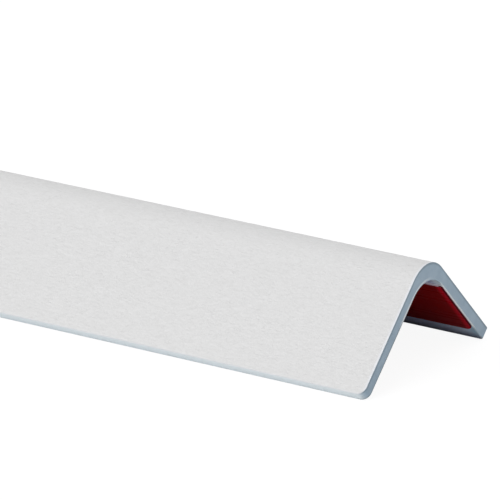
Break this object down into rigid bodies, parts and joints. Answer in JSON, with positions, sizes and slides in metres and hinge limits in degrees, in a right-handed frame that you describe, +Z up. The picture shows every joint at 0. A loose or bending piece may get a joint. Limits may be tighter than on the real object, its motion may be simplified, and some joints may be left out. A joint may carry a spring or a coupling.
{
  "type": "corner guard moulding",
  "caption": "Right-angle PVC corner guard moulding with a rounded ridge, embossed outer faces and double-sided tape under a red release liner on each inner face.",
  "frame": {"origin": "on the floor under the middle of the guard's length, midway between its two tips", "axes": "+X along the length, +Z up through the rounded ridge, the front leg faces -Y and the back leg faces +Y"},
  "size_m": [0.4, 0.0352, 0.0167],
  "materials": {
    "pvc": "satin",
    "tape": "matte",
    "liner": "gloss"
  },
  "bodies": {
    "root": {"guard_profile": "pvc", "front_tape": "tape", "front_liner": "liner", "back_tape": "tape", "back_liner": "liner"}
  },
  "joints": []
}
